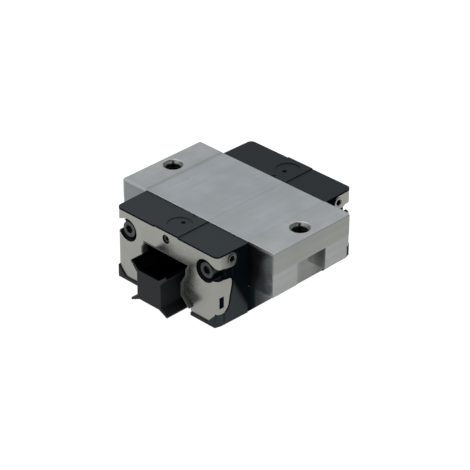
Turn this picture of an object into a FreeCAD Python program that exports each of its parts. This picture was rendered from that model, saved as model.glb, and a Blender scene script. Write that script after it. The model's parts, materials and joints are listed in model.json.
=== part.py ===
import FreeCAD, Part
import os, math
from FreeCAD import Vector as V

# Linear guide carriage, flanged, short, for a 20 mm profile rail.
# +X across the rail, +Y along the rail, +Z up.  Everything below is written
# with z = 0 at the top mounting face (so heights are negative) and is lifted
# by TOP at the end: the origin is the centre of the underside.

# ------------------------------------------------------------ driving sizes
TOP = 24.4            # underside of the end caps to the mounting face
FLANGE_W = 63.0       # width over the flanges
FLANGE_H = 15.1       # flange thickness
BODY_W = 42.6         # width of the body below the flanges
STEEL_L = 32.3        # length of the steel runner block
STEEL_BOT = -24.25    # underside of the runner block
PAD_RISE = 0.12       # flange pads stand this much above the middle
HOLE_PITCH = 53.0     # between the two mounting threads
THREAD_R = 2.5        # core radius of the M6 mounting threads
CHAMFER_R = 3.35      # mouth of the chamfer on the mounting threads
THREAD_L = 7.5        # length of thread above the side pocket
POCKET_R = 6.1        # side pocket below each mounting thread
CAP_FRONT = 28.64     # half length over the end plates
PLATE_T = 0.5         # thickness of the stainless end plates
CAP_TOP = -0.5        # top of the end caps
CAP_BOT = -24.4       # underside of the end caps
CAP_PAD_W = 10.0      # raised pad along the middle of the cap top
CAP_PAD_RISE = 0.3
CORNER_R = 1.7        # plan radius of the cap corners
FOOT_OUT = 0.41       # the lower edge of the cap stands out in front of the plate
SCREW_X = 16.25       # end-cap screws (M3, socket head)
SCREW_Z = -6.8
HEAD_R = 2.5
HEAD_H = 3.0
CUT_R = 3.75          # clearance hole round each screw in the end plate
BALL_R = 1.5875       # 1/8 inch balls
ROW_X, ROW_ZU, ROW_ZL = 9.3, -13.6, -18.0     # loaded ball rows
RET_X, RET_ZU, RET_ZL = 15.2, -12.3, -19.3    # return ball rows
BALLS = 24            # balls in each of the four circuits
CHAN_R = 1.75         # ball channel radius
TUBE_R = 2.3          # outside of the return tubes
LIP_T = 0.6           # rubber lip thickness round the rail opening
LIP_OUT = 1.0         # the lip stands out in front of the end plate
ARBOR_L = 71.6        # transport arbor
ARBOR_HW = 5.0        # half width of the arbor trough
ARBOR_TOP, ARBOR_BOT = -12.4, -22.4
GAP = 0.02            # fit between pieces that are pressed together

HL = STEEL_L / 2
NODES = {}


def prism_y(pts, y0, y1):
    """Polygon given as (x, z), extruded from y0 to y1."""
    w = Part.makePolygon([V(x, y0, z) for x, z in pts] + [V(pts[0][0], y0, pts[0][1])])
    return Part.Face(w).extrude(V(0, y1 - y0, 0))


def prism_x(pts, x0, x1):
    """Polygon given as (y, z), extruded from x0 to x1."""
    w = Part.makePolygon([V(x0, y, z) for y, z in pts] + [V(x0, pts[0][0], pts[0][1])])
    return Part.Face(w).extrude(V(x1 - x0, 0, 0))


def prism_z(pts, z0, z1):
    w = Part.makePolygon([V(x, y, z0) for x, y in pts] + [V(pts[0][0], pts[0][1], z0)])
    return Part.Face(w).extrude(V(0, 0, z1 - z0))


def box(x0, x1, y0, y1, z0, z1):
    return Part.makeBox(x1 - x0, y1 - y0, z1 - z0, V(x0, y0, z0))


def cyl(r, p, d, h):
    return Part.makeCylinder(r, h, V(*p), V(*d))


def mirror_x(s):
    return s.mirror(V(0, 0, 0), V(1, 0, 0))


def turn(s):
    """The other end: half a turn about the vertical axis."""
    t = s.copy()
    t.rotate(V(0, 0, 0), V(0, 0, 1), 180)
    return t


def fuse(a, *rest):
    return a.fuse(list(rest)) if rest else a


def offset_profile(pts, d):
    """Half profile (x > 0, listed from the top down) moved outward by d."""
    out = []
    n = len(pts)
    for i in range(n):
        segs = []
        if i > 0:
            segs.append((pts[i - 1], pts[i]))
        if i < n - 1:
            segs.append((pts[i], pts[i + 1]))
        lines = []
        for (x0, z0), (x1, z1) in segs:
            L = math.hypot(x1 - x0, z1 - z0)
            nx, nz = -(z1 - z0) / L, (x1 - x0) / L      # outward, for a profile listed downward
            lines.append((x0 + nx * d, z0 + nz * d, x1 + nx * d, z1 + nz * d))
        if len(lines) == 1:
            x0, z0, x1, z1 = lines[0]
            out.append((x0, z0) if i == 0 else (x1, z1))
        else:
            a, b = lines
            den = (a[0] - a[2]) * (b[1] - b[3]) - (a[1] - a[3]) * (b[0] - b[2])
            if abs(den) < 1e-9:
                out.append((a[2], a[3]))
            else:
                p = a[0] * a[3] - a[1] * a[2]
                q = b[0] * b[3] - b[1] * b[2]
                out.append(((p * (b[0] - b[2]) - (a[0] - a[2]) * q) / den,
                            (p * (b[1] - b[3]) - (a[1] - a[3]) * q) / den))
    return out


# half profile of the rail opening, as the rubber lip follows the rail
LIP = [(9.0, -8.2), (9.0, -11.0), (6.95, -14.4), (6.95, -18.6), (9.9, -21.6), (10.0, -23.2)]


def opening(d, y0, y1, bottom=None, top=0.0):
    """Rail opening, moved outward by d, open at the bottom."""
    h = offset_profile(LIP, d)
    h[0] = (h[0][0], LIP[0][1] + d + top)
    zb = bottom if bottom is not None else -30.0
    x5, z5 = h[-1]
    x4, z4 = h[-2]
    xb = x5 + (x5 - x4) / (z5 - z4) * (zb - z5)
    h[-1] = (xb, zb)
    return prism_y(h + [(-x, z) for x, z in reversed(h)], y0, y1)


# ------------------------------------------------------------ ball circuits
def circuit(side, upper):
    zl, zr = (ROW_ZU, RET_ZU) if upper else (ROW_ZL, RET_ZL)
    return V(side * ROW_X, 0, zl), V(side * RET_X, 0, zr)


def circuit_point(a, b, s):
    """Point at arc length s round the closed path a (loaded) -> b (return)."""
    u = (b - a)
    R = u.Length / 2
    u = u * (1.0 / (2 * R))
    L = STEEL_L
    arc = math.pi * R
    s = s % (2 * L + 2 * arc)
    if s < L:
        return a + V(0, -HL + s, 0)
    s -= L
    m = (a + b) * 0.5
    if s < arc:
        t = s / R
        return m - u * (R * math.cos(t)) + V(0, HL + R * math.sin(t), 0)
    s -= arc
    if s < L:
        return b + V(0, HL - s, 0)
    s -= L
    t = s / R
    return m + u * (R * math.cos(t)) + V(0, -HL - R * math.sin(t), 0)


def ball_row(side, upper):
    a, b = circuit(side, upper)
    total = 2 * STEEL_L + math.pi * (b - a).Length
    pitch = total / BALLS
    return Part.makeCompound([Part.makeSphere(BALL_R, circuit_point(a, b, (i + 0.25) * pitch))
                              for i in range(BALLS)])


for name, side, up in (("ball_circuit_upper_left", -1, True), ("ball_circuit_upper_right", 1, True),
                       ("ball_circuit_lower_left", -1, False), ("ball_circuit_lower_right", 1, False)):
    NODES[name] = ball_row(side, up)

# raceway inserts: hardened steel strips, with a groove for one ball row each
ROWS_MID = (ROW_ZU + ROW_ZL) / 2


def insert_upper(side, grow=0.0):
    g = grow
    pts = [(9.4, ROWS_MID + 0.05 - g), (12.4 + g, ROWS_MID + 0.05 - g), (12.4 + g, -13.3 + g), (10.5, -13.3 + g)]
    s = prism_y(pts, -HL, HL)
    if not grow:
        s = s.cut(cyl(BALL_R + 0.03, (ROW_X, -HL - 1, ROW_ZU), (0, 1, 0), STEEL_L + 2))
    return s if side > 0 else mirror_x(s)


def flip(s):
    """Mirror about the level half way between the two ball rows."""
    return s.mirror(V(0, 0, ROWS_MID), V(0, 0, 1))


NODES["raceway_insert_upper_right"] = insert_upper(1)
NODES["raceway_insert_upper_left"] = insert_upper(-1)
NODES["raceway_insert_lower_right"] = flip(insert_upper(1))
NODES["raceway_insert_lower_left"] = flip(insert_upper(-1))

# return tubes: plastic liners of the return bores
for name, side, up in (("return_tube_upper_left", -1, True), ("return_tube_upper_right", 1, True),
                       ("return_tube_lower_left", -1, False), ("return_tube_lower_right", 1, False)):
    a, b = circuit(side, up)
    NODES[name] = cyl(TUBE_R, (b.x, -HL + 0.02, b.z), (0, 1, 0), STEEL_L - 0.04).cut(
        cyl(CHAN_R, (b.x, -HL - 1, b.z), (0, 1, 0), STEEL_L + 2))


# ball guides: plastic strips between, above and below the rows, that keep the
# balls in when the carriage is off its rail
def ball_guide(side):
    hole_u = cyl(BALL_R + 0.07, (ROW_X, -HL - 1, ROW_ZU), (0, 1, 0), STEEL_L + 2)
    hole_l = cyl(BALL_R + 0.07, (ROW_X, -HL - 1, ROW_ZL), (0, 1, 0), STEEL_L + 2)
    mid = prism_y([(7.3, -14.55), (9.3, -14.2), (9.3, -17.4), (7.3, -17.05)], -HL + 0.02, HL - 0.02)
    mid = mid.cut(hole_u).cut(hole_l)
    up = prism_y([(9.4, -11.3), (9.4, -10.5), (11.5, -10.5), (11.5, -13.2), (10.0, -13.2)],
                 -HL + 0.02, HL - 0.02).cut(hole_u)
    lo = flip(up)
    parts = []
    for p in (mid, up, lo):
        parts += [max(p.Solids, key=lambda q: q.Volume)]
    c = Part.makeCompound(parts)
    return c if side > 0 else mirror_x(c)


NODES["ball_guide_right"] = ball_guide(1)
NODES["ball_guide_left"] = ball_guide(-1)

# ------------------------------------------------------------ runner block
hw, bw = FLANGE_W / 2, BODY_W / 2
c = 0.5
outline = [(-hw, -c), (-hw + c, 0), (-bw - 0.25, 0), (-bw + 0.25, -PAD_RISE),
           (bw - 0.25, -PAD_RISE), (bw + 0.25, 0), (hw - c, 0), (hw, -c),
           (hw, -6.9), (hw - 0.12, -7.0), (hw - 0.12, -FLANGE_H + 0.25), (hw - 0.37, -FLANGE_H),
           (bw + 0.6, -FLANGE_H), (bw, -FLANGE_H - 0.6),
           (bw, STEEL_BOT + 0.12), (bw - 0.12, STEEL_BOT), (-bw + 0.12, STEEL_BOT), (-bw, STEEL_BOT + 0.12),
           (-bw, -FLANGE_H - 0.6), (-bw - 0.6, -FLANGE_H),
           (-hw + 0.37, -FLANGE_H), (-hw + 0.12, -FLANGE_H + 0.25), (-hw + 0.12, -7.0), (-hw, -6.9)]
block = prism_y(outline, -HL, HL)
block = block.cut(opening(0.35, -HL - 1, HL + 1, top=-0.1))
pocket = prism_y([(6.0, -10.48), (11.52, -10.48), (11.52, -13.26), (12.42, -13.26), (12.42, 2 * ROWS_MID + 13.26),
                  (11.52, 2 * ROWS_MID + 13.26), (11.52, 2 * ROWS_MID + 10.48), (6.0, 2 * ROWS_MID + 10.48)],
                 -HL - 1, HL + 1)
for sd in (1, -1):
    block = block.cut(pocket if sd > 0 else mirror_x(pocket))
    for z in (RET_ZU, RET_ZL):
        block = block.cut(cyl(TUBE_R + GAP, (sd * RET_X, -HL - 1, z), (0, 1, 0), STEEL_L + 2))
    hx = sd * HOLE_PITCH / 2
    block = block.cut(cyl(THREAD_R, (hx, 0, -12), (0, 0, 1), 14))
    block = block.cut(Part.makeCone(THREAD_R, CHAMFER_R, CHAMFER_R - THREAD_R,
                                    V(hx, 0, -(CHAMFER_R - THREAD_R)), V(0, 0, 1)))
    block = block.cut(cyl(CHAMFER_R, (hx, 0, 0), (0, 0, 1), 1))
    # side pocket: round inner end on the thread axis, open to the side and below
    zt = -THREAD_L
    block = block.cut(cyl(POCKET_R, (hx, 0, -FLANGE_H - 1), (0, 0, 1), FLANGE_H + 1 + zt))
    if sd > 0:
        block = block.cut(box(hx, hw + 1, -POCKET_R, POCKET_R, -FLANGE_H - 1, zt))
    else:
        block = block.cut(box(-hw - 1, hx, -POCKET_R, POCKET_R, -FLANGE_H - 1, zt))
    # threads for the end-cap screws
    for ey in (1, -1):
        block = block.cut(cyl(1.5 + GAP, (sd * SCREW_X, ey * (HL - 7.5), SCREW_Z), (0, ey, 0), 10))
    # small relief at the lower rear corners of the flanges
    block = block.cut(box(min(sd * 30.6, sd * 32), max(sd * 30.6, sd * 32), HL - 0.7, HL + 1, -FLANGE_H - 1, -11.0))
# seats of the longitudinal seals
SEAL_X0, SEAL_X1 = 11.2, 14.2
for sd in (1, -1):
    block = block.cut(box(min(sd * 8, sd * (SEAL_X1 + GAP)), max(sd * 8, sd * (SEAL_X1 + GAP)),
                          -HL - 1, HL + 1, STEEL_BOT - 1, STEEL_BOT + 0.9))
NODES["runner_block"] = block

# longitudinal seals under the block, one on each side of the rail
for nm, sd in (("side_seal_right", 1), ("side_seal_left", -1)):
    s = prism_y([(10.85, STEEL_BOT + 0.75), (SEAL_X1, STEEL_BOT + 0.88), (SEAL_X1, STEEL_BOT + 0.1), (11.4, STEEL_BOT + 0.1)],
                -HL + 0.05, HL - 0.05)
    NODES[nm] = s if sd > 0 else mirror_x(s)


# ------------------------------------------------------------ end caps (front)
def cap_plan(inset, z0, z1, y_back=-HL, corner=CORNER_R):
    """Plan outline of the cap between its steel side and its front."""
    yf = -CAP_FRONT + inset
    r = corner - inset
    xb, xf = bw - inset, bw - 0.3 - inset
    k = (xb - xf) / (CAP_FRONT - HL)
    xc = xf + k * corner             # side wall where the corner starts
    a = V(-xb, y_back, z0)
    b = V(-xc, yf + r, z0)
    q = r * math.sqrt(0.5)
    m1 = V(-xc + r - q, yf + r - q, z0)
    d = V(-xc + r, yf, z0)
    e = V(xc - r, yf, z0)
    m2 = V(xc - r + q, yf + r - q, z0)
    f = V(xc, yf + r, z0)
    g = V(xb, y_back, z0)
    w = Part.Wire([Part.makeLine(a, b), Part.Arc(b, m1, d).toShape(), Part.makeLine(d, e),
                   Part.Arc(e, m2, f).toShape(), Part.makeLine(f, g), Part.makeLine(g, a)])
    return Part.Face(w).extrude(V(0, 0, z1 - z0))


PLATE_TOP = -1.1
PLATE_BOT = -23.4
LIP_BOT = -21.9       # lower end of the part of the lip that stands out
LIP_SEAT = -22.9      # lower end of its hidden part, held behind the plate

# side silhouettes (y, z) of the ears and wings of the end plate
EAR = [(-29.5, PLATE_TOP), (-22.6, PLATE_TOP), (-21.6, -1.5), (-21.0, -2.3), (-20.8, -3.2), (-20.95, -4.2),
       (-21.35, -5.2), (-22.0, -5.8), (-23.6, -5.7), (-25.7, -5.4), (-29.5, -5.2)]
WING = [(-29.5, -9.0), (-25.6, -9.1), (-23.6, -9.3), (-23.0, -9.6), (-22.75, -10.4), (-22.9, -12.2),
        (-23.6, -15.3), (-24.05, -17.9), (-24.5, -18.9), (-25.3, -19.8), (-26.6, -20.4), (-29.5, -20.4)]
FRONT_ZONE = [(-29.5, PLATE_TOP), (-25.7, PLATE_TOP), (-25.7, PLATE_BOT), (-29.5, PLATE_BOT)]


def plate_mask(grow=0.0):
    m = None
    for pts in (EAR, WING, FRONT_ZONE):
        p = prism_x(pts, -30, 30)
        m = p if m is None else m.fuse(p)
    return m


def front_cuts():
    """What is missing from the plate, seen from the front."""
    cuts = []
    for sd in (1, -1):
        cuts.append(cyl(CUT_R, (sd * SCREW_X, -30, SCREW_Z), (0, 1, 0), 4.4))
        cuts.append(prism_y([(sd * 17.2, -3.2), (sd * 19.6, -4.2), (sd * 21.4, -5.35), (sd * 23, -5.4),
                             (sd * 23, -9.05), (sd * 19.0, -8.9), (sd * 16.2, -8.0)], -30, -25.6))
        cuts.append(prism_y([(sd * 20.3, -20.2), (sd * 17.2, -23.5), (sd * 17.2, -25), (sd * 23, -25),
                             (sd * 23, -20.35)], -30, -25.6))
    cuts.append(opening(LIP_T + GAP, -30, -27, bottom=LIP_BOT - 0.05))
    cuts.append(opening(0.2, -30, -27))
    cuts.append(cyl(1.45, (0, -30, -3.1), (0, 1, 0), 3))
    return cuts


shell = cap_plan(0.0, PLATE_BOT, PLATE_TOP).cut(cap_plan(PLATE_T, PLATE_BOT - 1, PLATE_TOP + 1, y_back=-HL + 1))
plate = shell.common(plate_mask())
plate = plate.fuse(box(-4.9, 4.9, -CAP_FRONT, -CAP_FRONT + PLATE_T, PLATE_TOP - 0.3, PLATE_TOP + 0.3))
for k in front_cuts():
    plate = plate.cut(k)
PORT_Y, PORT_Z = -22.66, -3.2
NUB = (-27.6, -25.9, -18.3, -14.5)
for sd in (1, -1):
    plate = plate.cut(cyl(0.95, (sd * 19, PORT_Y, PORT_Z), (sd, 0, 0), 4))
    x0, x1 = sorted((sd * 19.0, sd * 23.0))
    plate = plate.cut(box(x0, x1, NUB[0], NUB[1], NUB[2], NUB[3]))
plate = max(plate.Solids, key=lambda s: s.Volume)
# drawn collar round each side port
for sd in (1, -1):
    ring = cyl(1.65, (sd * 20.9, PORT_Y, PORT_Z), (sd, 0, 0), 0.45).cut(cyl(1.2, (sd * 20, PORT_Y, PORT_Z), (sd, 0, 0), 3))
    plate = plate.fuse(ring)
plate = plate.removeSplitter()
NODES["end_plate_front"] = plate

# cap body: full outline, with a seat PLATE_T deep where the plate lies
cap = cap_plan(0.0, CAP_BOT, CAP_TOP, y_back=-HL - GAP)
yo = -CAP_FRONT - FOOT_OUT
side_y = -CAP_FRONT + CORNER_R
side_x = bw - 0.3 + 0.3 / (CAP_FRONT - HL) * CORNER_R
foot_edge = [(side_x, side_y), (20.54, yo + 0.3), (20.44, yo + 0.09), (20.22, yo)]
foot = None
for sd in (1, -1):
    f = prism_z([(sd * x, y) for x, y in foot_edge + [(8.0, yo), (8.0, side_y)]], CAP_BOT, -20.25)
    foot = f if foot is None else foot.fuse(f)
    cap = cap.cut(prism_z([(sd * x, y) for x, y in foot_edge + [(20.22, -30.0), (23.0, -30.0), (23.0, side_y)]],
                          CAP_BOT - 1, -20.42))
foot_zone = None
for sd in (1, -1):
    f = prism_y([(sd * 20.36, -20.30), (sd * 17.33, -23.42), (sd * 8.0, -23.42), (sd * 8.0, -25), (sd * 23, -25),
                 (sd * 23, -20.42), (sd * 20.5, -20.42)], -30, -26.0)
    foot_zone = f if foot_zone is None else foot_zone.fuse(f)
foot = foot.common(foot_zone)
cap = cap.fuse(foot)
seat_ring = cap_plan(-1.0, CAP_BOT - 1, PLATE_TOP + GAP, y_back=-HL - 0.5).cut(
    cap_plan(PLATE_T + GAP, CAP_BOT - 2, PLATE_TOP + 1, y_back=-HL))
seat = None
GROOVE = 0.70         # the seat is this much wider than the plate, all round its wings
for pts in (EAR, WING, FRONT_ZONE):
    p = prism_x([(y + (0.05 if y > -29 else 0), z) for y, z in pts], -30, 30)
    seat = p if seat is None else seat.fuse(p)
seat = seat.fuse(prism_x([(-29.5, PLATE_TOP + GAP), (-20.9, PLATE_TOP + GAP), (-20.9, -1.6), (-29.5, -1.6)], -30, 30))
for pts in (EAR, WING):
    for dy, dz in ((GROOVE, 0), (0.7 * GROOVE, -0.7 * GROOVE), (0.02, -GROOVE), (0.7 * GROOVE, 0.7 * GROOVE)):
        seat = seat.fuse(prism_x([(y + (dy if y > -29 else 0), z + dz) for y, z in pts], -30, 30))
cap = cap.cut(seat_ring.common(seat).cut(foot_zone))
cap = cap.cut(box(-5.0, 5.0, -30, -CAP_FRONT + PLATE_T + GAP, PLATE_TOP - 0.3, PLATE_TOP + 0.32))
# raised pad along the middle of the top, and its details
pad = box(-CAP_PAD_W / 2, CAP_PAD_W / 2, -CAP_FRONT + 0.02, -HL - GAP, CAP_TOP - 0.1, CAP_TOP + CAP_PAD_RISE)
cap = cap.fuse(pad)
cap = cap.cut(cyl(3.85, (0, -22.9, CAP_TOP + CAP_PAD_RISE - 0.22), (0, 0, 1), 1))
cap = cap.cut(cyl(0.75, (0, -21.5, CAP_TOP - 1.6), (0, 0, 1), 3))
cap = cap.cut(prism_z([(-1.0, -HL + 1), (1.0, -HL + 1), (1.0, -HL - 0.2), (0, -HL - 1.5), (-1.0, -HL - 0.2)],
                      CAP_TOP + CAP_PAD_RISE - 0.3, CAP_TOP + 2))
# rail opening
cap = cap.cut(opening(0.35, -30, -HL + 1, top=-0.05))
# seat of the rubber lip
cap = cap.cut(opening(2.3, -CAP_FRONT + PLATE_T - 1, -27.45, bottom=LIP_SEAT - 0.03))
for sd in (1, -1):
    # screw bore and counterbore
    cap = cap.cut(cyl(1.6, (sd * SCREW_X, -30, SCREW_Z), (0, 1, 0), 16))
    cap = cap.cut(cyl(HEAD_R + 0.15, (sd * SCREW_X, -30, SCREW_Z), (0, 1, 0), 30 - 25.1))
    # ring recess behind the clearance hole of the plate
    cap = cap.cut(cyl(CUT_R - 0.12, (sd * SCREW_X, -30, SCREW_Z), (0, 1, 0), 30 - 26.4))
    # corner scoop, open to the front and to the side
    s1 = prism_y([(sd * 16.25, -3.6), (sd * 17.4, -3.3), (sd * 22.5, -5.0), (sd * 22.5, -9.15), (sd * 16.25, -9.15)],
                 -30, -25.2)
    keep = prism_y([(sd * 16.0, -8.2), (sd * 19.4, -8.2), (sd * 19.9, -8.7), (sd * 19.9, -10), (sd * 16.0, -10)], -30, -20)
    s1 = s1.cut(keep)
    cap = cap.cut(s1)
    s2 = prism_y([(sd * 20.85, -4.6), (sd * 22.5, -4.9), (sd * 22.5, -9.15), (sd * 20.85, -9.15)], -25.3, -22.3)
    cap = cap.cut(s2)
    # pocket of the ball deflectors, open to the steel
    x0, x1 = sorted((sd * 7.0, sd * 17.7))
    cap = cap.cut(box(x0, x1, -21.85, -HL + 1, 2 * ROWS_MID + 9.95, -9.95))
    # side lubrication port
    cap = cap.cut(cyl(0.95, (sd * 14.0, PORT_Y, PORT_Z), (sd, 0, 0), 9))
    cap = cap.cut(cyl(1.75, (sd * 20.85, PORT_Y, PORT_Z), (sd, 0, 0), 2))
# front lubrication port
cap = cap.cut(cyl(1.3, (0, -30, -3.1), (0, 1, 0), 8))
# latch nubs in the slots of the plate wings
for sd in (1, -1):
    x0, x1 = sorted((sd * 20.0, sd * 21.4))
    nub = box(x0, x1, NUB[0] + 0.08, NUB[1] - 0.08, NUB[2] + 0.75, NUB[3] - 0.1)
    cap = cap.fuse(nub.common(cap_plan(0.06, NUB[2], NUB[3])))
cap = max(cap.Solids, key=lambda s: s.Volume).removeSplitter()
NODES["end_cap_front"] = cap

# rubber lip round the rail opening
Y0 = -CAP_FRONT - LIP_OUT
lip_outer = opening(LIP_T, Y0, -27.5, bottom=LIP_BOT).fuse(
    opening(2.2, -CAP_FRONT + PLATE_T + GAP, -27.5, bottom=LIP_SEAT))
lip = lip_outer.cut(opening(0.0, Y0 - 1, -26))
lip = lip.cut(prism_x([(Y0 - 1, -7.0), (-CAP_FRONT + 0.02, -7.0), (-CAP_FRONT + 0.02, -8.3), (Y0, -9.2), (Y0 - 1, -9.2)], -20, 20))
lip = lip.removeSplitter()
NODES["lip_seal_front"] = lip

# ball deflectors: one for each circuit at each end, in pairs
def deflector_pair(side):
    out = []
    for up in (True, False):
        a, b = circuit(1, up)
        m = (a + b) * 0.5
        u = b - a
        R = u.Length / 2
        u = u * (1 / (2 * R))
        w = V(0, 1, 0).cross(u)
        z0, z1 = (ROWS_MID + 0.02, -9.97) if up else (2 * ROWS_MID + 9.97, ROWS_MID - 0.02)
        s = box(7.0, 17.68, -21.82, -HL - 0.02, z0, z1)
        s = s.cut(opening(0.35, -30, -HL + 1, top=-0.05))
        tor = Part.makeTorus(R, CHAN_R, V(m.x, -HL, m.z), w)
        tor = tor.common(box(0, 30, -30, -HL, -30, 0))
        s = s.cut(tor)
        out.append(max(s.Solids, key=lambda q: q.Volume))
    cpd = Part.makeCompound(out)
    return cpd if side > 0 else mirror_x(cpd)


NODES["deflectors_front_right"] = deflector_pair(1)
NODES["deflectors_front_left"] = deflector_pair(-1)

# cap screws, two at each end
def cap_screws():
    out = []
    for sd in (1, -1):
        head = cyl(HEAD_R, (sd * SCREW_X, -25.12 - HEAD_H, SCREW_Z), (0, 1, 0), HEAD_H)
        head = head.cut(Part.makeCone(HEAD_R + 0.3, HEAD_R - 0.3, 0.6,
                                      V(sd * SCREW_X, -25.12 - HEAD_H + 0.55, SCREW_Z), V(0, -1, 0)).common(
            cyl(HEAD_R + 1, (sd * SCREW_X, -30, SCREW_Z), (0, 1, 0), 2.4)).cut(
            Part.makeCone(HEAD_R, HEAD_R - 0.25, 0.25, V(sd * SCREW_X, -25.12 - HEAD_H + 0.25, SCREW_Z), V(0, -1, 0)).fuse(
                cyl(HEAD_R, (sd * SCREW_X, -25.12 - HEAD_H + 0.25, SCREW_Z), (0, 1, 0), 3))))
        hexr = 2.5 / math.sqrt(3)
        hx = [(sd * SCREW_X + hexr * math.cos(math.radians(a)), SCREW_Z + hexr * math.sin(math.radians(a)))
              for a in range(0, 360, 60)]
        head = head.cut(prism_y(hx, -29, -25.12 - HEAD_H + 1.5))
        shank = cyl(1.5, (sd * SCREW_X, -25.2, SCREW_Z), (0, 1, 0), 25.2 - (HL - 7.2))
        out.append(head.fuse(shank))
    return Part.makeCompound(out)


NODES["cap_screws_front"] = cap_screws()

# plug of the front lubrication port, with a small socket
plug = cyl(1.28, (0, -28.3, -3.1), (0, 1, 0), 5.0)
plug = plug.cut(cyl(0.55, (0, -29, -3.1), (0, 1, 0), 2.6))
NODES["lube_plug_front"] = plug
# grub plugs of the two side ports
gp = []
for sd in (1, -1):
    g = cyl(0.93, (sd * 15.0, PORT_Y, PORT_Z), (sd, 0, 0), 4.9)
    g = g.cut(cyl(0.5, (sd * 18.8, PORT_Y, PORT_Z), (sd, 0, 0), 3))
    gp.append(g)
NODES["side_port_plugs_front"] = Part.makeCompound(gp)

# the rear end is the front end turned round
for nm in list(NODES):
    if "_front" in nm:
        NODES[nm.replace("_front", "_back")] = turn(NODES[nm])
# after the half turn left and right change places
NODES["deflectors_back_right"], NODES["deflectors_back_left"] = (
    NODES["deflectors_back_left"], NODES["deflectors_back_right"])

# ------------------------------------------------------------ transport arbor
# Trough with closed ends, open at the top, with four diagonal fins that lie
# in the rail opening in place of the rail.
ah = ARBOR_L / 2
WALL = 1.2
trough = box(-ARBOR_HW, ARBOR_HW, -ah, ah, ARBOR_BOT, ARBOR_TOP)
trough = trough.cut(box(-ARBOR_HW + WALL, ARBOR_HW - WALL, -ah + WALL, ah - WALL, ARBOR_BOT + WALL, ARBOR_TOP + 1))
FT = 0.8
fins = []
for sd in (1, -1):
    # upper fin
    fins.append(prism_y([(sd * (ARBOR_HW - 0.9), ARBOR_TOP), (sd * 7.15, -9.85), (sd * 7.65, -10.5),
                         (sd * ARBOR_HW, ARBOR_TOP - 1.0), (sd * (ARBOR_HW - 0.9), ARBOR_TOP - 1.0)], -ah, ah))
    # lower fin
    fins.append(prism_y([(sd * (ARBOR_HW - 0.9), ARBOR_BOT + 0.9), (sd * ARBOR_HW, ARBOR_BOT + 0.75),
                         (sd * 7.75, -23.3), (sd * 7.45, -24.0), (sd * (ARBOR_HW - 0.9), ARBOR_BOT)], -ah, ah))
arbor = trough.fuse(fins).removeSplitter()
NODES["transport_arbor"] = arbor

# ------------------------------------------------------------ write
os.makedirs("parts", exist_ok=True)
for nm in sorted(NODES):
    s = NODES[nm].copy()
    s.translate(V(0, 0, TOP))
    bb = s.BoundBox
    ok = s.isValid() and all(q.isValid() and q.Volume > 0 for q in s.Solids)
    print("%-30s solids %2d vol %9.1f valid %s  x %.2f..%.2f y %.2f..%.2f z %.2f..%.2f"
          % (nm, len(s.Solids), sum(q.Volume for q in s.Solids), ok, bb.XMin, bb.XMax, bb.YMin, bb.YMax, bb.ZMin, bb.ZMax))
    s.exportStep("parts/%s.step" % nm)
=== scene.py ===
import json
import math
import bpy
import bmesh
from mathutils import Vector, Matrix


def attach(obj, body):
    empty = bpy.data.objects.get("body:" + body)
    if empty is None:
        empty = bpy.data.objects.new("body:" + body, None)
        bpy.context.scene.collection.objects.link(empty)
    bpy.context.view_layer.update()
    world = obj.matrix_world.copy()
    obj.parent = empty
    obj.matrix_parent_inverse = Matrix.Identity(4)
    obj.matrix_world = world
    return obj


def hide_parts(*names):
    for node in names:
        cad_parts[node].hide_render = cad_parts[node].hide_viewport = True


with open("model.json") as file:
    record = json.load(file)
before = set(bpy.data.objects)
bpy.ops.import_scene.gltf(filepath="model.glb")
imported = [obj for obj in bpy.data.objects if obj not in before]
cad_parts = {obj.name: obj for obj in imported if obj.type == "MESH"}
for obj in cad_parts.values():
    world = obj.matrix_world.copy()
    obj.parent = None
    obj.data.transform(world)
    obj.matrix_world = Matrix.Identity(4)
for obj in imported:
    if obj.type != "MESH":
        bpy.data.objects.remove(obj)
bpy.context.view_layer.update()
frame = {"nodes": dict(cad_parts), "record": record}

TOP = 0.0244                      # mounting face above the underside, metres
MM = 0.001
NODES = frame["nodes"]


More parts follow.
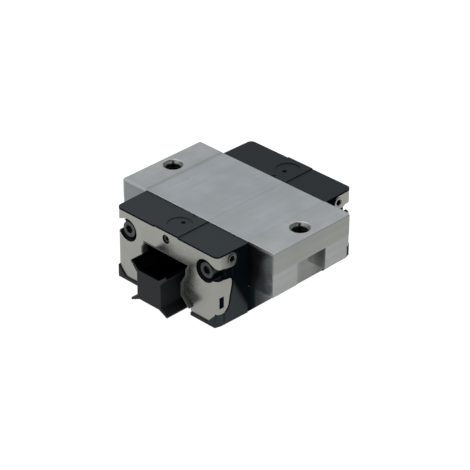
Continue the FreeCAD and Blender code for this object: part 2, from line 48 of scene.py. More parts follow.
# ---------------------------------------------------------------- node helpers
class Tree:
    """Small helper that builds a material's nodes."""

    def __init__(self, name):
        self.m = bpy.data.materials.new(name)
        self.m.use_nodes = True
        self.t = self.m.node_tree
        self.t.nodes.clear()
        self.out = self.n("ShaderNodeOutputMaterial")
        self.b = self.n("ShaderNodeBsdfPrincipled")
        self.t.links.new(self.b.outputs[0], self.out.inputs[0])
        tc = self.n("ShaderNodeTexCoord")
        sc = self.n("ShaderNodeVectorMath", operation="SCALE")
        sc.inputs["Scale"].default_value = 1000.0       # object space in millimetres
        self.link(tc.outputs["Object"], sc.inputs[0])
        self.mm = sc.outputs[0]

    def n(self, kind, **kw):
        node = self.t.nodes.new(kind)
        for k, v in kw.items():
            setattr(node, k, v)
        return node

    def link(self, a, b):
        self.t.links.new(a, b)

    def scaled(self, x, y, z, rot=(0, 0, 0)):
        mp = self.n("ShaderNodeMapping")
        mp.inputs["Scale"].default_value = (x, y, z)
        mp.inputs["Rotation"].default_value = rot
        self.link(self.mm, mp.inputs[0])
        return mp.outputs[0]

    def noise(self, vec=None, scale=1.0, detail=3.0, rough=0.55, dist=0.0):
        t = self.n("ShaderNodeTexNoise")
        t.inputs["Scale"].default_value = scale
        t.inputs["Detail"].default_value = detail
        t.inputs["Roughness"].default_value = rough
        t.inputs["Distortion"].default_value = dist
        self.link(vec or self.mm, t.inputs["Vector"])
        return t.outputs["Fac"]

    def rng(self, v, a, b, c, d, clamp=True):
        r = self.n("ShaderNodeMapRange", clamp=clamp)
        r.inputs["From Min"].default_value = a
        r.inputs["From Max"].default_value = b
        r.inputs["To Min"].default_value = c
        r.inputs["To Max"].default_value = d
        self.link(v, r.inputs["Value"])
        return r.outputs[0]

    def mix(self, fac, a, b, blend="MIX"):
        x = self.n("ShaderNodeMix", data_type="RGBA", blend_type=blend)
        if isinstance(fac, float):
            x.inputs[0].default_value = fac
        else:
            self.link(fac, x.inputs[0])
        for s, v in ((x.inputs[6], a), (x.inputs[7], b)):
            if isinstance(v, tuple):
                s.default_value = (*v, 1.0) if len(v) == 3 else v
            else:
                self.link(v, s)
        return x.outputs[2]

    def math(self, op, a, b=0.0, clamp=False):
        x = self.n("ShaderNodeMath", operation=op, use_clamp=clamp)
        for s, v in ((x.inputs[0], a), (x.inputs[1], b)):
            if isinstance(v, (int, float)):
                s.default_value = float(v)
            else:
                self.link(v, s)
        return x.outputs[0]

    def edges(self, radius_mm, lo=0.02, hi=0.25):
        """1 on convex and concave edges within about radius_mm, 0 elsewhere."""
        bv = self.n("ShaderNodeBevel", samples=4)
        bv.inputs["Radius"].default_value = radius_mm * MM
        ge = self.n("ShaderNodeNewGeometry")
        dt = self.n("ShaderNodeVectorMath", operation="DOT_PRODUCT")
        self.link(bv.outputs[0], dt.inputs[0])
        self.link(ge.outputs["Normal"], dt.inputs[1])
        return self.rng(self.math("SUBTRACT", 1.0, dt.outputs["Value"]), lo, hi, 0.0, 1.0)

    def normal_axis(self, axis):
        """Absolute value of one component of the object-space normal."""
        tc = self.n("ShaderNodeTexCoord")
        sp = self.n("ShaderNodeSeparateXYZ")
        self.link(tc.outputs["Normal"], sp.inputs[0])
        return self.math("ABSOLUTE", sp.outputs[axis])

    def bump(self, height, strength, distance_mm, normal=None):
        b = self.n("ShaderNodeBump")
        b.inputs["Strength"].default_value = strength
        b.inputs["Distance"].default_value = distance_mm * MM
        self.link(height, b.inputs["Height"])
        if normal is not None:
            self.link(normal, b.inputs["Normal"])
        return b.outputs[0]

    def set(self, **kw):
        for k, v in kw.items():
            s = self.b.inputs[k.replace("_", " ")]
            if isinstance(v, (int, float)):
                s.default_value = v
            elif isinstance(v, tuple):
                s.default_value = (*v, 1.0) if len(v) == 3 else v
            else:
                self.link(v, s)


# ---------------------------------------------------------------- materials
def band(t, v, lo, hi, soft):
    """1 where lo < v < hi, with soft borders."""
    up = t.rng(v, lo - soft, lo + soft, 0.0, 1.0)
    dn = t.rng(v, hi - soft, hi + soft, 1.0, 0.0)
    return t.math("MULTIPLY", up, dn)


def ground_steel(name, base, rough=0.33, zones=True):
    """Surface-ground steel: streaks along Y, cloudy tone, brighter worn edges."""
    t = Tree(name)
    cloud = t.noise(scale=0.055, detail=3, rough=0.5)
    patch = t.noise(scale=0.22, detail=4, rough=0.6)
    wide = t.noise(t.scaled(0.55, 0.022, 0.55), 1.0, 3, 0.6)
    lines = t.noise(t.scaled(5.0, 0.07, 5.0), 1.0, 4, 0.7)
    fine = t.noise(t.scaled(22.0, 0.25, 22.0), 1.0, 3, 0.6)
    k = lambda f: tuple(min(1.0, c * f) for c in base)
    col = t.mix(t.rng(cloud, 0.35, 0.65, 0, 1), k(0.93), k(1.07))
    col = t.mix(t.rng(wide, 0.38, 0.66, 0.0, 0.50), col, k(0.86))
    col = t.mix(t.rng(lines, 0.30, 0.72, 0.0, 0.22), col, k(0.76))
    col = t.mix(t.rng(patch, 0.52, 0.72, 0.0, 0.25), col, (base[0] * 0.93, base[1] * 1.0, base[2] * 1.04))
    if zones:
        sp = t.n("ShaderNodeSeparateXYZ")
        t.link(t.mm, sp.inputs[0])
        x, y, z = sp.outputs[0], sp.outputs[1], sp.outputs[2]
        ax = t.math("ABSOLUTE", x)
        top = t.rng(z, 24.0, 24.2, 0.0, 1.0)
        # painted shade along the border of the mounting pads, stronger towards -x; a darker line along x = +5 on the
        # top
        step = t.math("MULTIPLY", band(t, ax, 20.8, 21.8, 0.45), top)
        step = t.math("MULTIPLY", step, t.rng(x, -10.0, 10.0, 0.62, 0.14))
        col = t.mix(step, col, k(0.60))
        lap = t.math("MULTIPLY", band(t, x, 4.5, 5.1, 0.18), top)
        col = t.mix(t.math("MULTIPLY", lap, 0.30), col, k(0.62))
        worn = t.math("MULTIPLY", band(t, x, 5.0, 11.0, 1.4), t.rng(patch, 0.35, 0.6, 0.0, 1.0))
        col = t.mix(t.math("MULTIPLY", t.math("MULTIPLY", worn, top), 0.45), col, k(0.80))
        # middle of the top is a cooler tone than the pads
        mid = t.math("MULTIPLY", band(t, ax, -5.0, 21.3, 0.4), top)
        col = t.mix(t.math("MULTIPLY", mid, 0.55), col, (0.90, 0.95, 1.0), "MULTIPLY")
        # the sides are darkened a little against the top as painted shade; a datum band along the upper part of each
        # side, a warmer tone
        side = t.rng(ax, 31.2, 31.35, 0.0, 1.0)
        col = t.mix(side, col, (0.925, 0.920, 0.915), "MULTIPLY")
        upper = t.math("MULTIPLY", side, t.rng(z, 16.6, 17.2, 0.0, 1.0))
        col = t.mix(upper, col, (0.85, 0.86, 0.82), "MULTIPLY")
        # ends and the legs under the flanges are darker: partly their own unground finish, partly painted shade
        leg = t.math("MULTIPLY", t.rng(ax, 30.9, 31.1, 1.0, 0.0), t.rng(z, 23.2, 23.6, 1.0, 0.0))
        col = t.mix(leg, col, (0.60, 0.63, 0.66), "MULTIPLY")
        # painted highlight on the small chamfer along the outer top edge
        cham = t.math("MULTIPLY", t.rng(ax, 31.02, 31.08, 0.0, 1.0), band(t, z, 23.97, 24.36, 0.02))
        col = t.mix(cham, col, (1.75, 1.78, 1.85), "MULTIPLY")
        # painted shade on the legs under the flanges, darkest towards one end, tinted blue-grey there and warm further
        # along
        low = t.math("MULTIPLY", t.rng(ax, 22.4, 22.8, 1.0, 0.0), t.rng(z, 9.2, 9.5, 1.0, 0.0))
        along = t.math("MULTIPLY", y, t.math("SIGN", x))
        tone = t.math("ADD", t.rng(along, -16.2, -13.8, 0.022, 0.060), t.rng(along, -13.8, -11.0, 0.0, 0.012))
        tone = t.math("ADD", tone, t.rng(along, -11.5, -4.5, 0.0, 0.86))
        tone = t.math("ADD", tone, t.rng(along, 1.0, 4.5, 0.0, 0.39))
        tone = t.math("SUBTRACT", tone, t.math("ADD", t.rng(along, 4.5, 7.0, 0.0, 0.25), t.rng(along, 11.0, 14.5, 0.0, 0.40)))
        leg_shade = t.mix(t.rng(tone, 0.0, 1.3, 0.0, 1.0), (0.0, 0.0, 0.0), (1.29, 1.30, 1.28))
        leg_shade = t.mix(t.rng(along, -13.0, -9.0, 1.0, 0.0), leg_shade, (0.66, 1.00, 1.26), "MULTIPLY")
        leg_shade = t.mix(t.rng(along, -9.0, -6.0, 0.0, 1.0), leg_shade, (1.0, 0.965, 0.895), "MULTIPLY")
        col = t.mix(low, col, leg_shade, "MULTIPLY")
        # painted light: the end faces of the flanges are paler towards their lower edge
        foot = t.math("MULTIPLY", t.rng(t.math("ABSOLUTE", y), 16.0, 16.05, 0.0, 1.0), t.rng(z, 9.3, 15.5, 1.0, 0.0))
        col = t.mix(t.math("MULTIPLY", foot, leg), col, (1.95, 1.98, 1.98), "MULTIPLY")
        # painted light and shade in the side pockets: the pocket is brightened, the highlight on its back wall
        # darkened, and its end wall shaded by depth
        pk = t.math("MULTIPLY", band(t, ax, 20.0, 31.3, 0.1), t.math("MULTIPLY", t.math("MULTIPLY", t.rng(z, 16.85, 16.95, 1.0, 0.0), t.rng(z, 9.2, 9.35, 0.0, 1.0)), band(t, y, -6.2, 6.2, 0.05)))
        col = t.mix(pk, col, (1.92, 1.90, 1.79), "MULTIPLY")
        shade = t.math("ADD", t.rng(ax, 25.3, 26.2, 0.48, 1.08), t.rng(ax, 26.2, 28.0, 0.0, -0.46))
        shade = t.math("ADD", shade, t.math("ADD", t.rng(ax, 28.0, 29.5, 0.0, -0.20), t.rng(ax, 29.8, 31.0, 0.0, 0.06)))
        end = t.rng(along, 3.0, 5.2, 0.0, 1.0)
        pocket_back_shade = t.math("MULTIPLY", pk, t.math("SUBTRACT", 1.0, end))
        col = t.mix(pocket_back_shade, col, (0.58, 0.57, 0.54), "MULTIPLY")
        pocket_end_shade = t.math("MULTIPLY", pk, end)
        col = t.mix(pocket_end_shade, col, t.mix(shade, (0.0, 0.0, 0.0), (1.3, 1.3, 1.3)), "MULTIPLY")
        # painted shade in the mounting threads: the hole darkened from the mouth down, the core darker still
        hx = t.math("SUBTRACT", ax, 26.5)
        hd = t.math("SQRT", t.math("ADD", t.math("MULTIPLY", hx, hx), t.math("MULTIPLY", y, y)))
        deep = t.rng(z, 16.7, 16.9, 0.0, 1.0)
        mouth = t.math("MULTIPLY", t.rng(hd, 3.42, 3.48, 1.0, 0.0), t.rng(z, 24.33, 24.37, 1.0, 0.0))
        mouth = t.math("MULTIPLY", mouth, deep)
        col = t.mix(mouth, col, (0.44, 0.46, 0.44), "MULTIPLY")
        # painted shade in the run-out of the first groove
        rx = t.math("SUBTRACT", x, t.math("MULTIPLY", t.math("SIGN", x), 26.5))
        ang = t.math("DEGREES", t.math("ARCTAN2", y, rx))
        slot = t.math("MULTIPLY", band(t, ang, 123.0, 147.0, 2.0), t.rng(hd, 3.02, 3.10, 1.0, 0.0))
        col = t.mix(t.math("MULTIPLY", mouth, slot), col, (0.16, 0.17, 0.16), "MULTIPLY")
        bore_shade = t.math("MULTIPLY", t.rng(hd, 2.56, 2.64, 1.0, 0.0), t.math("MULTIPLY", t.rng(z, 23.45, 23.55, 1.0, 0.0), deep))
        col = t.mix(bore_shade, col, (0.17, 0.18, 0.165), "MULTIPLY")
    edge = t.edges(0.30)
    if zones:
        edge = t.math("MULTIPLY", edge, t.math("SUBTRACT", 1.0, leg))
    col = t.mix(t.math("MULTIPLY", edge, 0.40), col, k(1.30))
    r = t.rng(lines, 0.25, 0.75, rough - 0.06, rough + 0.07)
    r = t.math("ADD", r, t.rng(patch, 0.3, 0.7, -0.03, 0.04))
    if zones:
        end = t.math("MULTIPLY", t.rng(t.math("ABSOLUTE", y), 16.0, 16.1, 0.0, 1.0), leg)
        r = t.math("SUBTRACT", r, t.math("MULTIPLY", end, 0.13))
        r = t.math("ADD", r, t.math("MULTIPLY", bore_shade, 0.12))
    nb = t.bump(lines, 0.35, 0.010)
    nb = t.bump(fine, 0.35, 0.006, nb)
    nb = t.bump(t.noise(scale=18, detail=2), 0.2, 0.004, nb)
    if zones:
        # painted shade: the dark end of the leg is made non-metallic with its specular removed, so it reads dark
        unlit_leg_end = t.math("MULTIPLY", low, t.rng(along, -13.5, -10.0, 1.0, 0.0))
        t.set(Base_Color=col, Metallic=t.math("SUBTRACT", 1.0, unlit_leg_end), Roughness=r, Normal=nb)
        t.set(Specular_IOR_Level=t.math("MULTIPLY", t.math("SUBTRACT", 1.0, unlit_leg_end), 0.5))
    else:
        t.set(Base_Color=col, Metallic=1.0, Roughness=r, Normal=nb)
    return t.m


def stainless(name, base):
    t = Tree(name)
    cloud = t.noise(scale=0.12, detail=3, rough=0.5)
    smear = t.noise(t.scaled(0.12, 0.12, 0.5), 1.0, 3, 0.6, 0.4)
    lines = t.noise(t.scaled(0.22, 0.22, 16.0), 1.0, 4, 0.7)
    fine = t.noise(t.scaled(0.5, 0.5, 40.0), 1.0, 3, 0.6)
    col = t.mix(t.rng(cloud, 0.3, 0.7, 0, 1), tuple(c * 0.94 for c in base), tuple(min(1, c * 1.04) for c in base))
    col = t.mix(t.rng(lines, 0.35, 0.65, 0.0, 0.16), col, tuple(c * 0.78 for c in base))
    edge = t.edges(0.18)
    col = t.mix(t.math("MULTIPLY", edge, 0.5), col, tuple(min(1.0, c * 1.25) for c in base))
    # painted shade: the cut edges of the sheet are near black, standing in for the shadow gap between plate and cap
    sp = t.n("ShaderNodeSeparateXYZ")
    t.link(t.mm, sp.inputs[0])
    ax = t.math("ABSOLUTE", sp.outputs[0])
    ay = t.math("ABSOLUTE", sp.outputs[1])
    rim = t.math("MULTIPLY", t.rng(t.normal_axis(1), 0.45, 0.60, 1.0, 0.0), t.rng(ax, 20.0, 20.1, 1.0, 0.0))
    rim2 = t.math("MULTIPLY", t.rng(t.normal_axis(0), 0.45, 0.60, 1.0, 0.0), t.rng(ay, 28.0, 28.1, 1.0, 0.0))
    py, pz = t.math("SUBTRACT", ay, 22.66), t.math("SUBTRACT", sp.outputs[2], 21.2)
    port = t.math("SQRT", t.math("ADD", t.math("MULTIPLY", py, py), t.math("MULTIPLY", pz, pz)))
    rim2 = t.math("MULTIPLY", rim2, t.rng(port, 1.45, 1.55, 0.0, 1.0))
    col = t.mix(t.math("MAXIMUM", rim, rim2), col, (0.05, 0.06, 0.06), "MULTIPLY")
    r = t.rng(lines, 0.25, 0.75, 0.21, 0.29)
    r = t.math("ADD", r, t.rng(smear, 0.3, 0.7, -0.05, 0.08))
    nb = t.bump(lines, 0.14, 0.004)
    nb = t.bump(fine, 0.12, 0.002, nb)
    nb = t.bump(t.noise(scale=0.35, detail=2), 0.25, 0.03, nb)
    t.set(Base_Color=col, Metallic=1.0, Roughness=r, Normal=nb)
    return t.m


def moulded(name, base, rough, grain=9.0, wear=0.3, spec=0.5, flow=0.5, zone=None):
    t = Tree(name)
    cloud = t.noise(scale=0.10, detail=4, rough=0.55)
    flowm = t.noise(t.scaled(0.5, 0.08, 0.5), 1.0, 3, 0.6, 0.6)
    gr = t.noise(scale=grain, detail=3, rough=0.6)
    fine = t.noise(scale=grain * 3.3, detail=2, rough=0.6)
    col = t.mix(t.rng(cloud, 0.3, 0.7, 0, 1), tuple(c * 0.86 for c in base), tuple(c * 1.12 for c in base))
    col = t.mix(t.rng(flowm, 0.35, 0.7, 0.0, flow * 0.4), col, tuple(c * 1.25 for c in base))
    # glass fibre fleck
    fleck = t.noise(t.scaled(14, 4, 14, (0.3, 0.5, 0.2)), 1.0, 2, 0.5)
    col = t.mix(t.rng(fleck, 0.66, 0.75, 0.0, 0.35), col, tuple(c * 1.7 for c in base))
    edge = t.edges(0.3)
    worn = t.math("MULTIPLY", edge, t.rng(t.noise(scale=0.9, detail=3), 0.4, 0.65, 0.25, 1.0))
    col = t.mix(t.math("MULTIPLY", worn, wear), col, tuple(c * 2.2 for c in base))
    r = t.rng(gr, 0.3, 0.7, rough - 0.06, rough + 0.07)
    r = t.math("ADD", r, t.rng(cloud, 0.3, 0.7, -0.04, 0.05))
    level = spec
    # a zone paints shade as a darker tint with less specular, and painted light where its light mask is set
    if zone is not None:
        fac, tint, spread, shine, painted_lift = zone(t)
        col = t.mix(fac, col, tint, "MULTIPLY")
        if spread:
            r = t.math("ADD", r, t.math("MULTIPLY", fac, spread))
            t.set(Specular_Tint=t.mix(fac, (1.0, 1.0, 1.0), (shine, shine, shine)))
            level = t.math("MULTIPLY", t.math("SUBTRACT", 1.0, fac), spec)
        if painted_lift is not None:
            col = t.mix(painted_lift, col, (1.85, 1.90, 1.95), "MULTIPLY")
    nb = t.bump(gr, 0.35, 0.02)
    nb = t.bump(fine, 0.3, 0.008, nb)
    nb = t.bump(t.noise(scale=0.22, detail=2), 0.25, 0.08, nb)
    t.set(Base_Color=col, Metallic=0.0, Roughness=r, Normal=nb, Specular_IOR_Level=level)
    return t.m


def rubber(name, base):
    t = Tree(name)
    cloud = t.noise(scale=0.3, detail=4, rough=0.6)
    gr = t.noise(scale=14.0, detail=3, rough=0.7)
    dust = t.noise(scale=1.6, detail=5, rough=0.7)
    col = t.mix(t.rng(cloud, 0.3, 0.7, 0, 1), tuple(c * 0.8 for c in base), tuple(c * 1.15 for c in base))
    col = t.mix(t.rng(dust, 0.55, 0.75, 0.0, 0.25), col, tuple(min(1, c * 2.4) for c in base))
    r = t.rng(gr, 0.3, 0.7, 0.58, 0.76)
    nb = t.bump(gr, 0.4, 0.02)
    nb = t.bump(cloud, 0.3, 0.06, nb)
    t.b.inputs["Specular IOR Level"].default_value = 0.4
    t.b.inputs["Sheen Weight"].default_value = 0.08
    t.set(Base_Color=col, Metallic=0.0, Roughness=r, Normal=nb)
    return t.m


def oxide(name, base, rough=0.38, metallic=0.85):
    t = Tree(name)
    cloud = t.noise(scale=0.8, detail=4, rough=0.6)
    gr = t.noise(scale=11.0, detail=3, rough=0.6)
    col = t.mix(t.rng(cloud, 0.3, 0.7, 0, 1), tuple(c * 0.8 for c in base), tuple(c * 1.2 for c in base))
    edge = t.edges(0.15)
    col = t.mix(t.math("MULTIPLY", edge, 0.5), col, tuple(min(1, c * 2.2) for c in base))
    r = t.rng(gr, 0.3, 0.7, rough - 0.07, rough + 0.08)
    nb = t.bump(gr, 0.3, 0.008)
    t.set(Base_Color=col, Metallic=metallic, Roughness=r, Normal=nb)
    return t.m


def polished(name, base, rough=0.07):
    t = Tree(name)
    cloud = t.noise(scale=0.7, detail=3, rough=0.5)
    oil = t.noise(scale=2.2, detail=4, rough=0.65, dist=0.5)
    col = t.mix(t.rng(cloud, 0.3, 0.7, 0, 1), tuple(c * 0.93 for c in base), base)
    r = t.rng(oil, 0.35, 0.7, rough, rough + 0.09)
    nb = t.bump(t.noise(scale=25, detail=2), 0.12, 0.002)
    t.set(Base_Color=col, Metallic=1.0, Roughness=r, Normal=nb)
    return t.m


def cap_shade_zone(t):
    """Painted shade on the sides of a cap next to the steel, black painted shade in its grooves and slots, and painted
    light on the front part of the sides.
    """
    sp = t.n("ShaderNodeSeparateXYZ")
    t.link(t.mm, sp.inputs[0])
    ax = t.math("ABSOLUTE", sp.outputs[0])
    ay = t.math("ABSOLUTE", sp.outputs[1])
    z = sp.outputs[2]
    # border: |y| 15.4 at the foot, leaning forward to the plate at half height
    lim = t.rng(z, 0.7, 9.3, 15.4, 20.2)
    lim = t.math("ADD", lim, t.rng(z, 9.3, 14.0, 0.0, 2.4))
    lim = t.math("ADD", lim, t.rng(z, 13.4, 15.2, 0.0, 5.0))
    d = t.math("SUBTRACT", lim, ay)
    wall = t.math("MULTIPLY", t.rng(t.normal_axis(0), 0.60, 0.80, 0.0, 1.0), t.rng(ax, 20.0, 20.3, 0.0, 1.0))
    # painted shade: the groove round the plate, the latch nub in its slot, and the recess faces in the masks below are
    # black
    deep = t.math("MULTIPLY", t.math("MULTIPLY", t.rng(ax, 20.74, 20.80, 1.0, 0.0), t.rng(z, 4.0, 4.1, 0.0, 1.0)), t.rng(ay, 20.0, 20.2, 0.0, 1.0))
    nub = t.math("MULTIPLY", band(t, ay, 25.7, 27.8, 0.05), band(t, z, 5.9, 10.1, 0.05))
    ring = t.math("MULTIPLY", t.rng(t.normal_axis(1), 0.55, 0.75, 0.0, 1.0), t.rng(z, 4.3, 4.6, 0.0, 1.0))
    ring = t.math("MULTIPLY", ring, t.rng(ay, 24.0, 24.5, 0.0, 1.0))
    slot = t.math("MULTIPLY", band(t, z, 15.2, 19.1, 0.05), t.math("MULTIPLY", wall, t.rng(ay, 24.6, 26.6, 0.0, 1.0)))
    black = t.math("MAXIMUM", t.math("MULTIPLY", t.math("MAXIMUM", deep, nub), wall), t.math("MAXIMUM", ring, slot))
    side = t.math("MULTIPLY", wall, t.math("SUBTRACT", 1.0, black))
    # painted light: the front part of the side is lighter, less so towards the top
    painted_lift = t.math("MULTIPLY", t.math("MULTIPLY", t.rng(d, -1.6, 0.2, 1.0, 0.0), side), t.rng(z, 6.0, 21.0, 1.0, 0.45))
    # painted shade: the side next to the steel is darker, with the grooves black
    dark = t.math("MAXIMUM", t.math("MULTIPLY", t.rng(d, -0.6, 0.8, 0.0, 1.0), side), black)
    return dark, (0.30, 0.36, 0.42), 0.02, 0.04, painted_lift


def arbor_shade_zone(t):
    """Painted shade: the trough and the upper faces of the fins are made matt black."""
    tc = t.n("ShaderNodeTexCoord")
    sn = t.n("ShaderNodeSeparateXYZ")
    t.link(tc.outputs["Normal"], sn.inputs[0])
    sp = t.n("ShaderNodeSeparateXYZ")
    t.link(t.mm, sp.inputs[0])
    ax = t.math("ABSOLUTE", sp.outputs[0])
    ay = t.math("ABSOLUTE", sp.outputs[1])
    z = sp.outputs[2]
    up = t.math("MULTIPLY", t.rng(sn.outputs[2], 0.25, 0.40, 0.0, 1.0), t.rng(z, 11.9, 12.0, 0.0, 1.0))
    trough_shade = t.math("MULTIPLY", t.rng(ax, 3.84, 3.90, 1.0, 0.0), t.rng(ay, 34.64, 34.70, 1.0, 0.0))
    trough_shade = t.math("MULTIPLY", trough_shade, t.rng(z, 3.1, 3.15, 0.0, 1.0))
    return t.math("MAXIMUM", up, trough_shade), (0.10, 0.10, 0.12), 0.45, 0.03, None


STEEL = ground_steel("m_ground_steel", (0.305, 0.313, 0.309))
RACE = ground_steel("m_raceway_steel", (0.42, 0.43, 0.44), rough=0.22, zones=False)
PLATE = stainless("m_stainless_plate", (0.265, 0.266, 0.245))
CAP = moulded("m_cap_plastic", (0.0098, 0.0134, 0.0156), 0.50, wear=0.18, spec=0.10, zone=cap_shade_zone)
ARBOR = moulded("m_arbor_plastic", (0.0066, 0.0083, 0.0088), 0.42, grain=7.0, wear=0.25, flow=0.8, spec=0.10, zone=arbor_shade_zone)
GUIDE = moulded("m_guide_plastic", (0.030, 0.032, 0.034), 0.45, wear=0.15, spec=0.2)
RUBBER = rubber("m_seal_rubber", (0.040, 0.045, 0.041))
SCREW = oxide("m_black_oxide", (0.042, 0.044, 0.046))
PLUG = oxide("m_plug_steel", (0.060, 0.060, 0.058), 0.42, 0.9)
BALL = polished("m_ball_steel", (0.72, 0.73, 0.74))

MAT_OF = {"ground_steel": STEEL, "hardened_steel": RACE, "ball_steel": BALL, "stainless_plate": PLATE,
          "cap_plastic": CAP, "guide_plastic": GUIDE, "seal_rubber": RUBBER, "black_oxide": SCREW,
          "plug_steel": PLUG, "arbor_plastic": ARBOR}
SLOT = {s["node"]: s["material_slot"] for s in frame["record"]["subparts"]}

# painted shade: the back cap uses a darker copy of the cap material
CAP_BACK_SHADED = moulded("m_cap_plastic_back_shaded", (0.0066, 0.0092, 0.0108), 0.54, wear=0.18, spec=0.08, zone=cap_shade_zone)

for nm, ob in NODES.items():
    mat = CAP_BACK_SHADED if nm == "end_cap_back" else MAT_OF[SLOT[nm]]
    for i in range(len(ob.material_slots)):
        ob.material_slots[i].material = mat


def soften(nm, width_mm, segments=2, angle=32.0):
    """Rounded edges on a CAD node, by modifiers only."""
    ob = NODES[nm]
    w = ob.modifiers.new("weld", "WELD")
    w.merge_threshold = 2e-6
    d = ob.modifiers.new("flat", "DECIMATE")
    d.decimate_type = "DISSOLVE"
    d.angle_limit = math.radians(0.6)
    d.delimit = {"NORMAL"}
    b = ob.modifiers.new("round", "BEVEL")
    b.width = width_mm * MM
    b.segments = segments
    b.limit_method = "ANGLE"
    b.angle_limit = math.radians(angle)
    b.use_clamp_overlap = True
    b.harden_normals = False
    b.miter_outer = "MITER_ARC"
    g = ob.modifiers.new("normals", "WEIGHTED_NORMAL")
    g.keep_sharp = False
    g.weight = 60
    return ob


# ---------------------------------------------------------------- small detailed pieces
def add_piece(nm, bm, mat, body="carriage", smooth=35.0):
    bmesh.ops.recalc_face_normals(bm, faces=bm.faces)
    me = bpy.data.meshes.new(nm)
    bm.to_mesh(me)
    bm.free()
    for f in me.polygons:
        f.use_smooth = True
    me.set_sharp_from_angle(angle=math.radians(smooth))
    me.materials.append(mat)
    ob = bpy.data.objects.new(nm, me)
    bpy.context.scene.collection.objects.link(ob)
    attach(ob, body)
    return ob


def thread(nm, cx, cy, z_top, z_bot, r_wall=2.53, r_crest=2.27, pitch=1.0, steps=56):
    """Helical ridge of an internal thread, run out at both ends."""
    bm = bmesh.new()
    turns = (z_top - z_bot) / pitch
    n = int(turns * steps)
    rows = []
    for i in range(n + 1):
        th = 2 * math.pi * i / steps
        z = z_top - pitch * i / steps
        fade = max(0.04, min(1.0, i / (0.35 * steps), (n - i) / (0.35 * steps)))
        h = 0.40 * pitch * fade
        rc = r_wall - (r_wall - r_crest) * fade
        prof = ((r_wall, z - h), (rc, z - 0.06 * fade), (rc, z + 0.06 * fade), (r_wall, z + h), (r_wall + 0.03, z))
        rows.append([bm.verts.new(((cx + r * math.cos(th)) * MM, (cy + r * math.sin(th)) * MM, zz * MM)) for r, zz in prof])
    m = len(rows[0])
    for a, b in zip(rows, rows[1:]):
        for k in range(m):
            bm.faces.new((a[k], a[(k + 1) % m], b[(k + 1) % m], b[k]))
    bm.faces.new(rows[0])
    bm.faces.new(rows[-1])
    return add_piece(nm, bm, STEEL)


def mouth_ring(nm, cx, cy, z0, start_deg, gap_deg):
    """Countersunk mouth of a thread, open where the first groove runs out."""
    bm = bmesh.new()
    n = 110
    rows = []
    prof = ((2.46, z0 - 0.90), (2.37, z0 - 0.84), (3.13, z0 - 0.075), (3.22, z0 - 0.03), (3.345, z0 - 0.012), (3.36, z0 - 0.03))
    for i in range(n + 1):
        th = math.radians(start_deg + gap_deg / 2 + (360.0 - gap_deg) * i / n)
        # the groove eases out of the chamfer, so the ring thins towards one side
        thin = min(1.0, i / 14.0)
        row = []
        for k, (r, z) in enumerate(prof):
            if k in (1, 2):
                r = r + (1 - thin) * 0.06
                z = z - (1 - thin) * 0.06
            row.append(bm.verts.new(((cx + r * math.cos(th)) * MM, (cy + r * math.sin(th)) * MM, z * MM)))
        rows.append(row)
    m = len(prof)
    for a, b in zip(rows, rows[1:]):
        for k in range(m):
            bm.faces.new((a[k], a[(k + 1) % m], b[(k + 1) % m], b[k]))
    bm.faces.new(rows[0])
    bm.faces.new(rows[-1])
    return add_piece(nm, bm, STEEL)


def revolve(bm, prof, c, axis, seg, inner):
    """Closed turned body with a hexagon socket.

    prof runs from the rim of the socket outwards and round to the back centre,
    as (distance along the axis from the front face, radius); inner is
    (across flats / 2, depth) of the socket.
    """
    ax = Vector(axis).normalized()
    u = ax.orthogonal().normalized()
    v = ax.cross(u)
    c = Vector(c)

    def pt(d, r, th):
        return (c + ax * d + (u * math.cos(th) + v * math.sin(th)) * r) * MM

    rings = []
    half, depth = inner
    for d, grow in ((depth, 1.0), (0.10, 1.0), (0.0, 1.10)):
        ring = []
        for i in range(seg):
            th = 2 * math.pi * i / seg
            # radius of a regular hexagon in this direction
            m = (th + math.pi / 6) % (math.pi / 3) - math.pi / 6
            ring.append(bm.verts.new(pt(d, half * grow / math.cos(m), th)))
        rings.append(ring)
    for d, r in prof:
        rings.append([bm.verts.new(pt(d, r, 2 * math.pi * i / seg)) for i in range(seg)])
    for a, b in zip(rings, rings[1:]):
        for i in range(seg):
            j = (i + 1) % seg
            bm.faces.new((a[i], a[j], b[j], b[i]))
    # floor of the socket is a shallow drill point
    tip = bm.verts.new(pt(depth + half * 0.35, 0.0, 0.0))
    for i in range(seg):
        bm.faces.new((rings[0][(i + 1) % seg], rings[0][i], tip))
    bm.faces.new(rings[-1])
    return bm


def turned(pts):
    return [(float(d), float(r)) for d, r in pts]


def grub(nm, node, spots, r, length, socket, mat):
    """Set screws with a chamfered nose, thread grooves and a hexagon socket."""
    bm = bmesh.new()
    for c, axis in spots:
        prof = [(0.0, r - 0.22), (0.16, r - 0.04)]
        d = 0.30
        while d < length - 0.5:
            prof += [(d, r), (d + 0.12, r - 0.10), (d + 0.24, r)]
            d += 0.40
        prof += [(length - 0.25, r), (length, r - 0.25)]
        revolve(bm, turned(prof), c, axis, 48, socket)
    ob = add_piece(nm, bm, mat)
    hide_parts(node)
    return ob


for sd, tag in ((1, "right"), (-1, "left")):
    thread("mount_thread_" + tag, sd * 26.5, 0.0, 24.4 - 1.0, 24.4 - 7.35)
    mouth_ring("mount_mouth_" + tag, sd * 26.5, 0.0, 24.4, 135.0, 15.0)

PORT_Z = 24.4 - 3.1
SIDE_Z = 24.4 - 3.2
for sg, tag in ((1, "front"), (-1, "back")):
    grub("lube_plug_detail_" + tag, "lube_plug_" + tag, [((0, -28.25 * sg, PORT_Z), (0, sg, 0))], 1.26, 4.9,
         (0.66, 1.9), PLUG)
    grub("side_plug_detail_" + tag, "side_port_plugs_" + tag,
         [((sd * 19.88, -22.66 * sg, SIDE_Z), (-sd, 0, 0)) for sd in (1, -1)], 0.91, 4.7,
         (0.48, 1.6), PLUG)

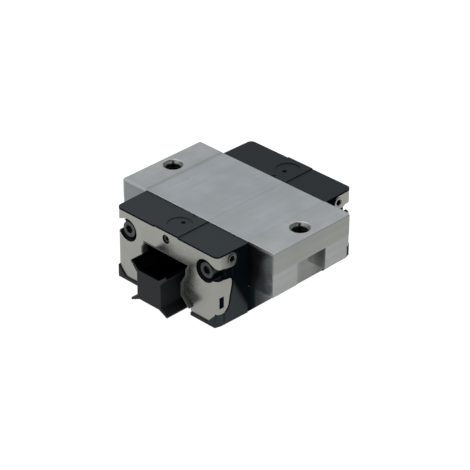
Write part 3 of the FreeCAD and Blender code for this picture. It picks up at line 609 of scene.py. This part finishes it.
# ---------------------------------------------------------------- floor, light, camera
fl = bpy.data.meshes.new("floor")
bm = bmesh.new()
bmesh.ops.create_grid(bm, x_segments=2, y_segments=2, size=3.0)
bm.to_mesh(fl); bm.free()
floor = bpy.data.objects.new("floor", fl)
bpy.context.scene.collection.objects.link(floor)
floor.location = (0, 0, -0.00002)
ft = Tree("m_floor")
fn = ft.noise(scale=0.004, detail=2)
ft.set(Base_Color=ft.mix(ft.rng(fn, 0.3, 0.7, 0, 1), (0.110, 0.110, 0.110), (0.116, 0.116, 0.116)), Roughness=0.85)
ft.b.inputs["Emission Color"].default_value = (1, 1, 1, 1)
fs = ft.n("ShaderNodeSeparateXYZ")
ft.link(ft.mm, fs.inputs[0])
fx = ft.math("ABSOLUTE", fs.outputs[0])
fy = ft.math("ABSOLUTE", fs.outputs[1])
# painted shadow: the floor's glow drops from 0.98 to 0.20 under the object
under = ft.math("MAXIMUM", ft.math("SUBTRACT", fx, 21.0), ft.math("SUBTRACT", fy, 28.0))
ft.set(Emission_Strength=ft.rng(under, -9.0, -3.0, 0.20, 0.98))
ft.b.inputs["Specular IOR Level"].default_value = 0.1
clear = ft.n("ShaderNodeBsdfTransparent")
pick = ft.n("ShaderNodeMixShader")
ft.link(ft.n("ShaderNodeNewGeometry").outputs["Backfacing"], pick.inputs[0])
ft.link(ft.b.outputs[0], pick.inputs[1])
ft.link(clear.outputs[0], pick.inputs[2])
ft.link(pick.outputs[0], ft.out.inputs[0])
fl.materials.append(ft.m)

world = bpy.data.worlds.new("studio")
bpy.context.scene.world = world
world.use_nodes = True
wt = world.node_tree
wt.nodes.clear()
wo = wt.nodes.new("ShaderNodeOutputWorld")
bg = wt.nodes.new("ShaderNodeBackground")
bg.inputs["Strength"].default_value = 1.0
wt.links.new(bg.outputs[0], wo.inputs[0])
tc = wt.nodes.new("ShaderNodeTexCoord")
# a soft dome, brighter overhead and towards the back left, dimmer to the right
dot = wt.nodes.new("ShaderNodeVectorMath"); dot.operation = "DOT_PRODUCT"
dot.inputs[1].default_value = Vector((-0.55, 0.45, 0.70)).normalized()
wt.links.new(tc.outputs["Generated"], dot.inputs[0])
rp = wt.nodes.new("ShaderNodeValToRGB")
rp.color_ramp.interpolation = "EASE"
rp.color_ramp.elements[0].position = 0.0
rp.color_ramp.elements[0].color = (0.27, 0.275, 0.28, 1)
rp.color_ramp.elements[1].position = 1.0
rp.color_ramp.elements[1].color = (0.84, 0.87, 0.905, 1)
mr = wt.nodes.new("ShaderNodeMapRange")
mr.inputs["From Min"].default_value = -0.4
mr.inputs["From Max"].default_value = 1.0
wt.links.new(dot.outputs["Value"], mr.inputs["Value"])
wt.links.new(mr.outputs[0], rp.inputs[0])
wt.links.new(rp.outputs[0], bg.inputs[0])


def area(name, loc, target, size, power, color=(1, 1, 1)):
    l = bpy.data.lights.new(name, "AREA")
    l.shape = "RECTANGLE"
    l.size, l.size_y = size
    l.energy = power
    l.color = color
    o = bpy.data.objects.new(name, l)
    bpy.context.scene.collection.objects.link(o)
    o.location = loc
    d = Vector(target) - Vector(loc)
    o.rotation_euler = d.to_track_quat("-Z", "Y").to_euler()
    return o


area("key", (-0.08, 0.02, 0.95), (0, 0, 0), (1.3, 1.3), 11.0)
area("left", (-0.35, -0.85, 0.28), (0, 0, 0.01), (0.50, 0.40), 3.9)

cam = bpy.data.cameras.new("camera")
cam.sensor_width = 36.0
cam.lens = 2237.537 * 36.0 / 470.0
cam.clip_start = 0.01
cam.clip_end = 20
co = bpy.data.objects.new("camera", cam)
bpy.context.scene.collection.objects.link(co)
co.location = Vector((403.6535, -412.6475, 333.6804 + 24.4)) * MM
right, up, ahead = (Vector((0.71318876, 0.70095983, 0.00413574)), Vector((-0.36408043, 0.36537752, 0.85670573)), Vector((-0.59900507, 0.61249877, -0.51578890)))
co.rotation_euler = Matrix((right, up, -ahead)).transposed().to_euler()
bpy.context.scene.camera = co
bpy.context.scene.view_settings.view_transform = "Standard"
bpy.context.scene.view_settings.look = "None"

for nm, w in (("runner_block", 0.08), ("end_cap_front", 0.12), ("end_cap_back", 0.12), ("transport_arbor", 0.12),
              ("end_plate_front", 0.06), ("end_plate_back", 0.06), ("lip_seal_front", 0.15), ("lip_seal_back", 0.15),
              ("cap_screws_front", 0.07), ("cap_screws_back", 0.07)):
    soften(nm, w)
